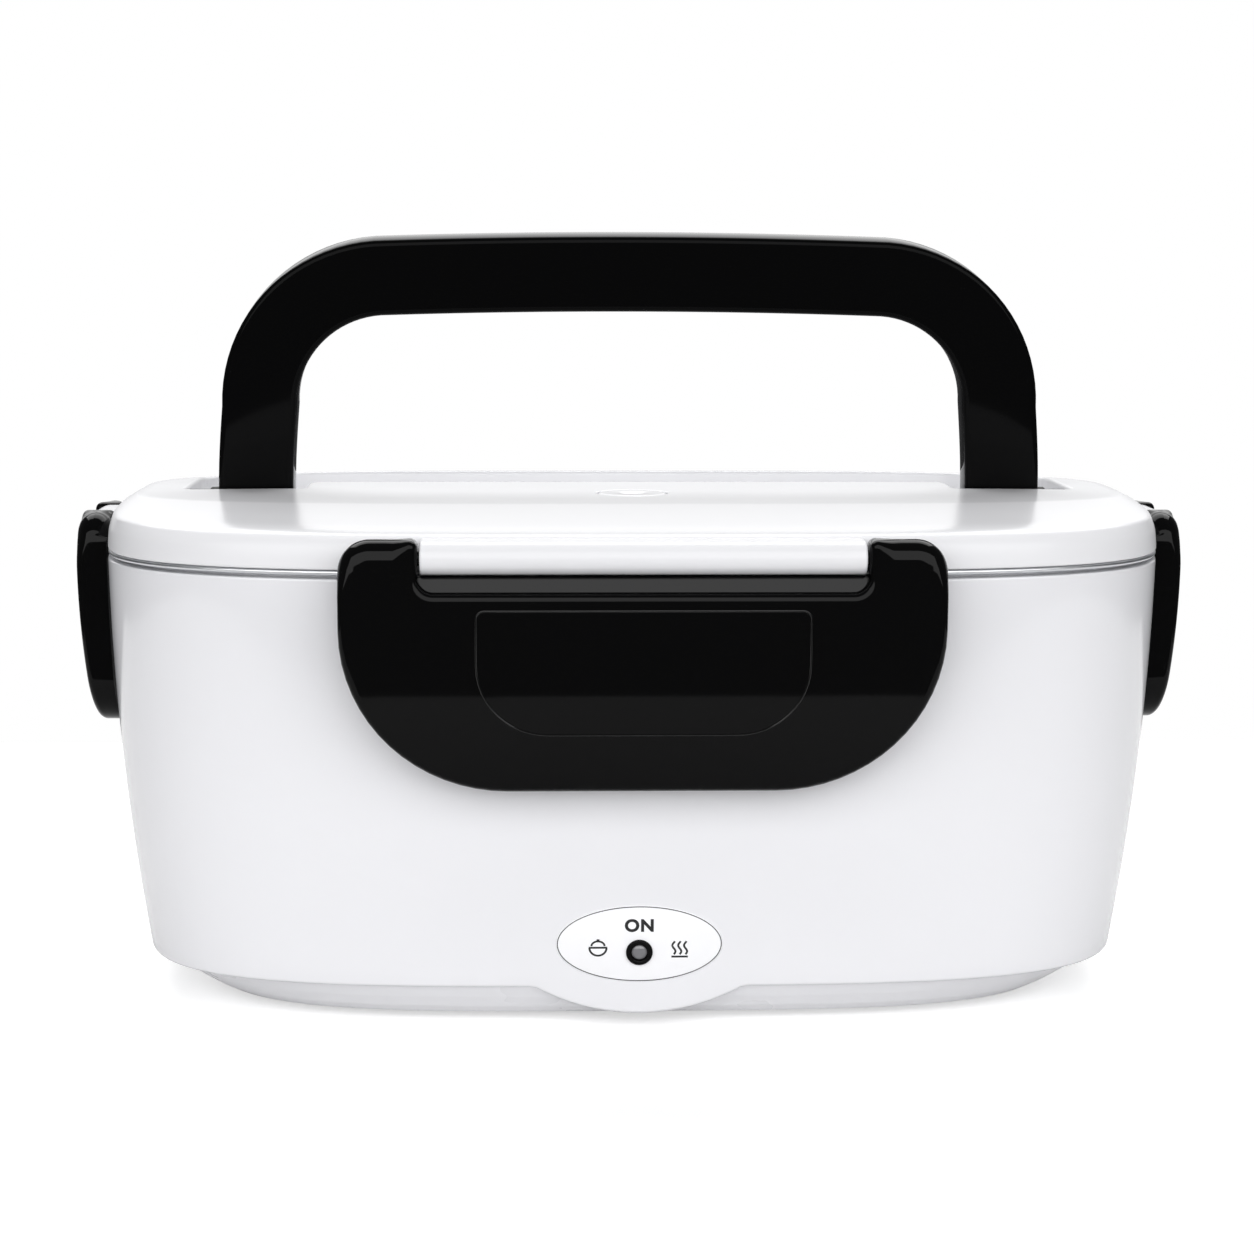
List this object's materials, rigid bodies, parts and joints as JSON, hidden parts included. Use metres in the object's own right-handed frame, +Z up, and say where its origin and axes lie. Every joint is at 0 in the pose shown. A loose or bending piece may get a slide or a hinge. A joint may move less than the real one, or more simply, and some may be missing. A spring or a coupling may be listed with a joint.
{
  "type": "electric lunch box",
  "caption": "Electric heated lunch box: drafted oval housing, removable steel tray with insert, lift-off lid held by clip latches, folding bail handle and lamp panel.",
  "frame": {"origin": "centre of the plane under the rubber feet", "axes": "+Z is up, +X runs to the right along the length, and the lamp panel faces -Y"},
  "size_m": [0.2426, 0.1718, 0.1637],
  "materials": {
    "shell_white": "gloss",
    "lid_white": "high gloss",
    "base_white": "satin gloss",
    "foot_rubber": "matte",
    "screw_steel": "zinc plated",
    "plate_aluminium": "satin",
    "element_ceramic": "matte ceramic",
    "bracket_steel": "galvanised",
    "nut_brass": "plain",
    "pad_fibre": "felted fibre",
    "thermostat_case": "matte",
    "fuse_sleeve": "woven sleeve",
    "lead_insulation": "silicone",
    "panel_film": "satin",
    "trim_black": "gloss",
    "lamp_grey": "gloss",
    "board_green": "satin",
    "inlet_black": "fine texture",
    "pin_brass": "bright",
    "tray_steel": "satin",
    "insert_plastic": "satin",
    "liner_white": "satin",
    "gasket_silicone": "satin",
    "vent_silicone": "satin",
    "handle_black": "gloss",
    "latch_black": "gloss"
  },
  "bodies": {
    "housing": {"housing": "shell_white", "base_cover": "base_white", "feet": "foot_rubber", "base_screws": "screw_steel", "heater_plate": "plate_aluminium", "heating_element": "element_ceramic", "element_clamp": "bracket_steel", "clamp_nuts": "nut_brass", "insulation_pad": "pad_fibre", "thermostat": "thermostat_case", "thermal_fuse": "fuse_sleeve", "inner_leads": "lead_insulation", "indicator_panel": "panel_film", "lamp_bezel": "trim_black", "lamp_lens": "lamp_grey", "lamp_board": "board_green", "power_inlet": "inlet_black", "inlet_pins": "pin_brass"},
    "tray": {"steel_tray": "tray_steel"},
    "insert": {"food_insert": "insert_plastic"},
    "lid": {"lid_shell": "lid_white", "lid_liner": "liner_white", "lid_gasket": "gasket_silicone", "vent_plug": "vent_silicone"},
    "handle": {"carry_handle": "handle_black"},
    "front_clip": {"latch_front": "latch_black"},
    "back_clip": {"latch_back": "latch_black"},
    "left_clip": {"latch_left": "latch_black"},
    "right_clip": {"latch_right": "latch_black"}
  },
  "joints": [
    {"name": "tray_lift", "type": "slide", "parent": "housing", "child": "tray", "axis": [0, 0, 1], "range_m": [0, 0.276]},
    {"name": "insert_lift", "type": "slide", "parent": "tray", "child": "insert", "axis": [0, 0, 1], "range_m": [0, 0.276]},
    {"name": "lid_lift", "type": "slide", "parent": "insert", "child": "lid", "axis": [0, 0, 1], "range_m": [0, 0.276]},
    {"name": "handle_fold", "type": "hinge", "parent": "lid", "child": "handle", "pos_m": [0, 0.001, 0.1032], "axis": [-1, 0, 0], "range_deg": [0, 98]},
    {"name": "front_clip_turn", "type": "hinge", "parent": "lid", "child": "front_clip", "pos_m": [0, -0.082, 0.1002], "axis": [-1, 0, 0], "range_deg": [0, 115]},
    {"name": "back_clip_turn", "type": "hinge", "parent": "lid", "child": "back_clip", "pos_m": [0, 0.082, 0.099], "axis": [1, 0, 0], "range_deg": [0, 115]},
    {"name": "left_clip_turn", "type": "hinge", "parent": "lid", "child": "left_clip", "pos_m": [-0.1176, 0, 0.09885], "axis": [0, 1, 0], "range_deg": [0, 115]},
    {"name": "right_clip_turn", "type": "hinge", "parent": "lid", "child": "right_clip", "pos_m": [0.1176, 0, 0.09885], "axis": [0, -1, 0], "range_deg": [0, 115]}
  ]
}
